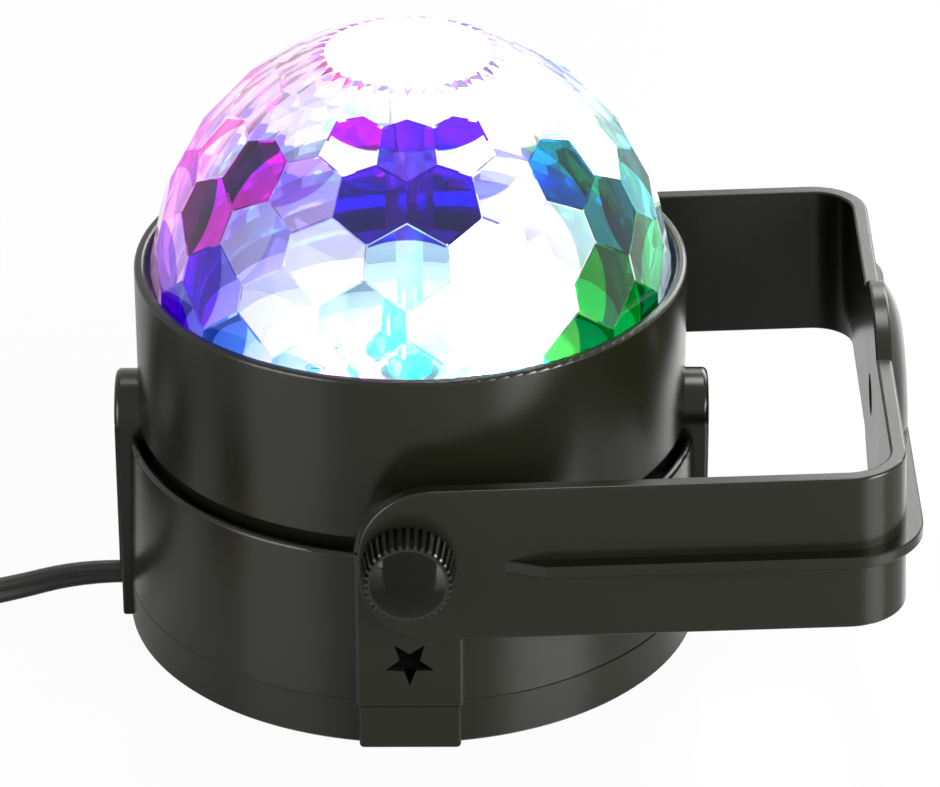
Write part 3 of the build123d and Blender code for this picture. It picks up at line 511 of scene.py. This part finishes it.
def crystalMaterial(opts):
    material, tree, shader = newMaterial("crystal")
    # The facets' painted lamp light: its colour tints the clear glass and, scaled by the painted glow
    # and sheen, is given off as emission
    zones = addNode(tree, "ShaderNodeGroup", node_tree=cutFacet)
    first = addNode(tree, "ShaderNodeAttribute", attribute_name="facetPaintedTint")
    second = addNode(tree, "ShaderNodeAttribute", attribute_name="facetOtherPaintedTint")
    firstGlow = addNode(tree, "ShaderNodeAttribute", attribute_name="facetPaintedGlow")
    secondGlow = addNode(tree, "ShaderNodeAttribute", attribute_name="otherPaintedGlow")
    paintedTint = addNode(tree, "ShaderNodeMix", data_type="RGBA")
    glow = addNode(tree, "ShaderNodeMix", data_type="FLOAT")
    slope = addNode(tree, "ShaderNodeMath", operation="MULTIPLY_ADD")
    slope.inputs[1].default_value, slope.inputs[2].default_value = opts["paintedSheen"]
    shaded = addNode(tree, "ShaderNodeMath", operation="MULTIPLY")
    light = addNode(tree, "ShaderNodeVectorMath", operation="SCALE")
    link = tree.links.new
    link(zones.outputs["Share"], paintedTint.inputs["Factor"])
    link(zones.outputs["Share"], glow.inputs["Factor"])
    link(first.outputs["Color"], paintedTint.inputs["A"])
    link(second.outputs["Color"], paintedTint.inputs["B"])
    link(firstGlow.outputs["Fac"], glow.inputs["A"])
    link(secondGlow.outputs["Fac"], glow.inputs["B"])
    link(zones.outputs["Painted Sheen"], slope.inputs[0])
    link(glow.outputs["Result"], shaded.inputs[0])
    link(slope.outputs[0], shaded.inputs[1])
    link(paintedTint.outputs["Result"], light.inputs[0])
    link(shaded.outputs[0], light.inputs["Scale"])
    link(paintedTint.outputs["Result"], shader.inputs["Base Color"])
    link(light.outputs[0], shader.inputs["Emission Color"])
    shader.inputs["Emission Strength"].default_value = opts["paintedLightStrength"]
    shader.inputs["Transmission Weight"].default_value = 1
    shader.inputs["Roughness"].default_value = 0.0
    shader.inputs["IOR"].default_value = opts["ior"]
    return material


def makeDome(opts, work):
    shape = mergedCopy(nodes["crystal_dome"], work)
    centre = Vector(opts["centre"])
    top = opts["centre"][2] + opts["capHeight"]
    teethBase = top - opts["toothDepth"]
    capBase = top - opts["capSkin"]

    def isLevel(face):
        return abs(face.normal.z) > work["level"]

    def onCap(face, middle):
        return isLevel(face) and middle.z > capBase

    def onFacet(face):
        middle = face.calc_center_median()
        return (middle - centre).length > opts["facetReach"] or onCap(face, middle)

    edges = [e for e in shape.edges if len(e.link_faces) == 2 and all(onFacet(f) for f in e.link_faces)
             and e.calc_face_angle(0) > math.radians(opts["edgeAngle"])
             and min(v.co.z for v in e.verts) > centre.z + opts["edgeFoot"]
             and max(v.co.z for v in e.verts) < teethBase]
    made = bmesh.ops.bevel(shape, geom=edges, offset=opts["edgeRound"], offset_type="OFFSET",
                           segments=opts["edgeSteps"], affect="EDGES", profile=0.5, material=-1,
                           clamp_overlap=True)
    rounded = set(made["faces"])
    # Face attributes of the painted lamp light: two colours, their glow, and the cut between them
    paintedTint = shape.faces.layers.float_color.new("facetPaintedTint")
    other = shape.faces.layers.float_color.new("facetOtherPaintedTint")
    glow = shape.faces.layers.float.new("facetPaintedGlow")
    otherPaintedGlow = shape.faces.layers.float.new("otherPaintedGlow")
    cut = shape.faces.layers.float_vector.new("facetCut")
    place = shape.loops.layers.uv.new("facetPlace")
    chance = random.Random(opts["seed"])

    def paint(face, colour, strength, second=None, secondStrength=None, split=uncut):
        face[paintedTint] = (*colour, 1)
        face[other] = (*(second or colour), 1)
        face[glow] = strength
        face[otherPaintedGlow] = strength if secondStrength is None else secondStrength
        face[cut] = split

    for face in shape.faces:
        middle = face.calc_center_median()
        out = (middle - centre).normalized()
        azimuth = foldedAzimuth(out)
        # Rounded edges get painted light lines, lighter towards the top; the cap, teeth and facets get
        # painted lamp light
        if face in rounded:
            colour, strength = between(opts["edges"], azimuth)
            high = risen(out.z, *opts["topEdgeBand"]) * opts["topEdgeShare"]
            paint(face, colour.lerp(Vector(opts["topEdge"]), high), strength)
        elif onCap(face, middle):
            paint(face, *opts["cap"])
        elif middle.z > teethBase and opts["toothSlope"][0] < abs(face.normal.z) < opts["toothSlope"][1]:
            paint(face, *between(opts["teeth"], azimuth))
        elif onFacet(face) and middle.z > centre.z:
            paint(face, *facetLook(out, chance, opts))
        else:
            paint(face, white, 0)
        east = Vector((-out.y, out.x, 0)).normalized()
        north = out.cross(east)
        for loop in face.loops:
            offset = (loop.vert.co - middle) / opts["facetSize"]
            loop[place].uv = (offset.dot(east), offset.dot(north))
        inCavity = (middle - centre).length < opts["cavityReach"] and not isLevel(face)
        face.smooth = inCavity or middle.z < centre.z
    keepSharpEdges(shape, work)
    print("dome edges rounded:", len(edges), "faces", len(shape.faces))
    makePiece("domeCrystal", shape, crystalMaterial(opts), "crystal", "dome", "crystal_dome")


# Spindle: the same clear plastic, but milky, with painted teal lamp light and glow low down
spindle = {
    "drop": 0.00015,  # its top stands clear of the cap by this
    "top": 0.09175,
    "topSkin": 1e-4,
    "clear": (0.95, 0.98, 1.0),
    # Painted lamp light: teal tint and glow, fading out between these heights
    "paintedTint": (0.12, 0.85, 0.78),
    "glow": (0.0, 0.5, 0.42),
    "paintedLightHeights": (0.05, 0.066),
    "paintedLightStrength": 0.8,
    "roughness": 0.12,
    "transmission": 0.9,
    "ior": 1.5,
}


def spindleMaterial(opts):
    material, tree, shader = newMaterial("spindleMilky")
    grain = addGrain(tree, opts["roughness"])
    fade = heightFade(tree, opts["paintedLightHeights"], 1.0, 0.0)
    link = tree.links.new
    link(grain.outputs["Roughness"], shader.inputs["Roughness"])
    link(mixColours(tree, fade, opts["clear"], opts["paintedTint"]), shader.inputs["Base Color"])
    link(mixColours(tree, fade, black, opts["glow"]), shader.inputs["Emission Color"])
    shader.inputs["Emission Strength"].default_value = opts["paintedLightStrength"]
    shader.inputs["Transmission Weight"].default_value = opts["transmission"]
    shader.inputs["IOR"].default_value = opts["ior"]
    return material


def makeSpindle(opts, work):
    shape = mergedCopy(nodes["dome_spindle"], work)
    for vertex in shape.verts:
        if vertex.co.z > opts["top"] - opts["topSkin"]:
            vertex.co.z -= opts["drop"]
    for face in shape.faces:
        face.smooth = True
    keepSharpEdges(shape, work)
    makePiece("spindleMilky", shape, spindleMaterial(opts), "crystal", "dome", "dome_spindle")


makeDome(crystal, meshWork)
makeSpindle(spindle, meshWork)
print("dome done")


# Supply lead: flat twin flex along the route
lead = {
    "exit": (-0.04545, 0.0, 0.0047),
    "width": 0.0045,
    "strand": 0.00225,
    "web": 0.0006,
    "twistLength": 0.08,  # one full twist of the flex
    "firstTwist": 1.15,
    "slowTwist": 0.8,  # over the first stretch, where the strands lie one above the other
    "slowStretch": 0.065,
    "run": [(-0.04545, 0.0, 0.0047), (-0.05245, 0.0, 0.0047), (-0.064, -0.0024, 0.0027),
            (-0.076, -0.0062, 0.0025), (-0.0895, -0.00735, 0.00335)],
    "tail": [(-0.1165, -0.00735, 0.0083), (-0.131, -0.0115, 0.0056), (-0.140, -0.0235, 0.0028),
             (-0.1375, -0.0375, 0.0034), (-0.127, -0.046, 0.00625), (-0.1135, -0.046, 0.00625)],
    "coilCentre": (-0.103, 0.023875),
    "coilOuter": 0.030875,
    "coilPitch": 0.005,
    "coilTurns": 2.75,
    "coilReverse": 0.5,
    "coilBase": 0.00335,
    "coilRise": 0.00495,
    "pointsPerTurn": 12,
    "profileSteps": 9,
    "curveSteps": 6,
    "curveOrder": 3,
}


def coilPoint(opts, turn):
    total = 2 * opts["coilTurns"] + opts["coilReverse"]
    inner = opts["coilOuter"] - opts["coilPitch"] * opts["coilTurns"]
    if turn < opts["coilTurns"]:
        radius, height = opts["coilOuter"] - opts["coilPitch"] * turn, opts["coilBase"]
    elif turn > opts["coilTurns"] + opts["coilReverse"]:
        radius = opts["coilOuter"] - opts["coilPitch"] * (total - turn)
        height = opts["coilBase"] + opts["coilRise"]
    else:
        climb = math.pi * (turn - opts["coilTurns"]) / opts["coilReverse"]
        radius = inner - opts["coilPitch"] / 2 * math.sin(climb) / math.pi
        height = opts["coilBase"] + opts["coilRise"] * (1 - math.cos(climb)) / 2
    radius /= math.cos(math.pi / opts["pointsPerTurn"])  # the spline runs inside its points
    angle = -math.pi / 2 - math.tau * turn
    return (opts["coilCentre"][0] + radius * math.cos(angle),
            opts["coilCentre"][1] + radius * math.sin(angle), height)


def leadPoints(opts):
    total = 2 * opts["coilTurns"] + opts["coilReverse"]
    count = round(total * opts["pointsPerTurn"])
    coil = [coilPoint(opts, total * (i + 0.5) / count) for i in range(count)]
    return [*opts["run"], *coil, *opts["tail"]]


# Cross-section: two round strands with a narrow web between them
def flexProfile(opts):
    data = bpy.data.curves.new("flexProfile", "CURVE")
    data.dimensions = "2D"
    offset = (opts["width"] - opts["strand"]) / 2
    radius = opts["strand"] / 2
    gap = math.asin(opts["web"] / opts["strand"])
    points = []
    for side in (1, -1):
        for i in range(opts["profileSteps"]):
            angle = -math.pi + gap + (math.tau - 2 * gap) * i / (opts["profileSteps"] - 1)
            points.append((side * (offset + radius * math.cos(angle)), side * radius * math.sin(angle)))
    spline = data.splines.new("POLY")
    spline.points.add(len(points) - 1)
    for point, (x, y) in zip(spline.points, points):
        point.co = (x, y, 0, 1)
    spline.use_cyclic_u = True
    return bpy.data.objects.new("flexProfile", data)


def leadCurve(opts):
    data = bpy.data.curves.new("leadRoute", "CURVE")
    data.dimensions = "3D"
    data.resolution_u = opts["curveSteps"]
    data.twist_mode = "Z_UP"
    spline = data.splines.new("NURBS")
    points = leadPoints(opts)
    spline.points.add(len(points) - 1)
    walked = 0
    for i, (point, place) in enumerate(zip(spline.points, points)):
        if i:
            walked += (Vector(place) - Vector(points[i - 1])).length
        point.co = (*place, 1)
        slow = min(walked / opts["slowStretch"], 1) * opts["slowTwist"]
        steady = math.tau * max(walked - opts["slowStretch"], 0) / opts["twistLength"]
        point.tilt = opts["firstTwist"] + slow + steady
    spline.order_u = opts["curveOrder"]
    spline.use_endpoint_u = True
    return bpy.data.objects.new("leadRoute", data)


def meshOf(obj, name):
    scene.collection.objects.link(obj)
    bpy.context.view_layer.update()
    graph = bpy.context.evaluated_depsgraph_get()
    mesh = bpy.data.meshes.new_from_object(obj.evaluated_get(graph))
    mesh.name = name
    scene.collection.objects.unlink(obj)
    return mesh


def makeLead(opts):
    route = leadCurve(opts)
    line = meshOf(route, "leadLine")
    profile = flexProfile(opts)
    scene.collection.objects.link(profile)
    route.data.bevel_mode = "OBJECT"
    route.data.bevel_object = profile
    route.data.use_fill_caps = True
    mesh = meshOf(route, "leadFlex")
    scene.collection.objects.unlink(profile)
    for face in mesh.polygons:
        face.use_smooth = True
    flex = bpy.data.objects.new("leadFlex", mesh)
    scene.collection.objects.link(flex)
    dress(flex, shades["flexBlack"])
    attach(flex, "housing")
    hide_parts("lead_free_run", "lead_coil", "lead_tail")


makeLead(lead)
print("lead done")


# Floor, backdrop and light
studio = {
    "floorSize": 6.0,
    "floorColour": (0.5, 0.5, 0.5),
    "floorRoughness": 0.2,
    "floorSpecular": 1,
    "floorGlow": 0.95,
    "floorGlowGlossy": 0.25,
    "worldStrength": 0.12,
}


def makeFloor(opts):
    mesh = bpy.data.meshes.new("floor")
    shape = bmesh.new()
    bmesh.ops.create_grid(shape, x_segments=1, y_segments=1, size=opts["floorSize"] / 2)
    shape.to_mesh(mesh)
    shape.free()
    floor = bpy.data.objects.new("floor", mesh)
    scene.collection.objects.link(floor)
    material, tree, shader = newMaterial("floorPale")
    shader.inputs["Base Color"].default_value = (*opts["floorColour"], 1)
    shader.inputs["Roughness"].default_value = opts["floorRoughness"]
    shader.inputs["Specular IOR Level"].default_value = opts["floorSpecular"]
    path = addNode(tree, "ShaderNodeLightPath")
    seen = addNode(tree, "ShaderNodeMath", operation="MAXIMUM")
    direct = addNode(tree, "ShaderNodeMath", operation="MULTIPLY")
    direct.inputs[1].default_value = opts["floorGlow"]
    mirrored = addNode(tree, "ShaderNodeMath", operation="MULTIPLY")
    mirrored.inputs[1].default_value = opts["floorGlowGlossy"]
    share = addNode(tree, "ShaderNodeMath", operation="MAXIMUM")
    glow = addNode(tree, "ShaderNodeEmission")
    glow.inputs["Color"].default_value = (*white, 1)
    glow.inputs["Strength"].default_value = 1
    mix = addNode(tree, "ShaderNodeMixShader")
    link = tree.links.new
    link(path.outputs["Is Camera Ray"], seen.inputs[0])
    link(path.outputs["Is Transmission Ray"], seen.inputs[1])
    link(seen.outputs[0], direct.inputs[0])
    link(path.outputs["Is Glossy Ray"], mirrored.inputs[0])
    link(direct.outputs[0], share.inputs[0])
    link(mirrored.outputs[0], share.inputs[1])
    link(share.outputs[0], mix.inputs["Fac"])
    link(shader.outputs["BSDF"], mix.inputs[1])
    link(glow.outputs["Emission"], mix.inputs[2])
    link(mix.outputs["Shader"], tree.nodes["Material Output"].inputs["Surface"])
    dress(floor, material)


def makeWorld(opts):
    world = bpy.data.worlds.new("studio")
    scene.world = world
    world.use_nodes = True
    tree = world.node_tree
    background = tree.nodes["Background"]
    background.inputs["Color"].default_value = (*white, 1)
    background.inputs["Strength"].default_value = opts["worldStrength"]
    seen = addNode(tree, "ShaderNodeBackground")
    seen.inputs["Color"].default_value = (*white, 1)
    path = addNode(tree, "ShaderNodeLightPath")
    direct = addNode(tree, "ShaderNodeMath", operation="MAXIMUM")
    through = addNode(tree, "ShaderNodeMath", operation="MAXIMUM")
    mix = addNode(tree, "ShaderNodeMixShader")
    link = tree.links.new
    link(path.outputs["Is Camera Ray"], direct.inputs[0])
    link(path.outputs["Is Glossy Ray"], direct.inputs[1])
    link(direct.outputs[0], through.inputs[0])
    link(path.outputs["Is Transmission Ray"], through.inputs[1])
    link(through.outputs[0], mix.inputs["Fac"])
    link(background.outputs["Background"], mix.inputs[1])
    link(seen.outputs["Background"], mix.inputs[2])
    link(mix.outputs["Shader"], tree.nodes["World Output"].inputs["Surface"])


softboxes = {
    "left": {"place": (-1.02, -0.82, 0.38), "size": (0.8, 0.74), "power": 15},
    "right": {"place": (1.06, -0.75, 0.38), "size": (0.8, 0.74), "power": 48},
    "top": {"place": (0.1, 0.5, 1.3), "size": (0.4, 0.45), "power": 7},
    "back": {"place": (0.7, 1.3, 0.72), "size": (1.2, 0.7), "power": 20},
}
softboxAim = (0, 0, 0.05)


def makeSoftbox(name, opts):
    data = bpy.data.lights.new(name, "AREA")
    data.shape = "RECTANGLE"
    data.size, data.size_y = opts["size"]
    data.energy = opts["power"]
    lamp = bpy.data.objects.new(name, data)
    scene.collection.objects.link(lamp)
    lamp.location = opts["place"]
    lamp.rotation_mode = "QUATERNION"
    aim = Vector(softboxAim) - Vector(opts["place"])
    lamp.rotation_quaternion = aim.to_track_quat("-Z", "Y")


makeFloor(studio)
makeWorld(studio)
for name, opts in softboxes.items():
    makeSoftbox(name, opts)
scene.view_settings.view_transform = "Standard"
print("studio done")
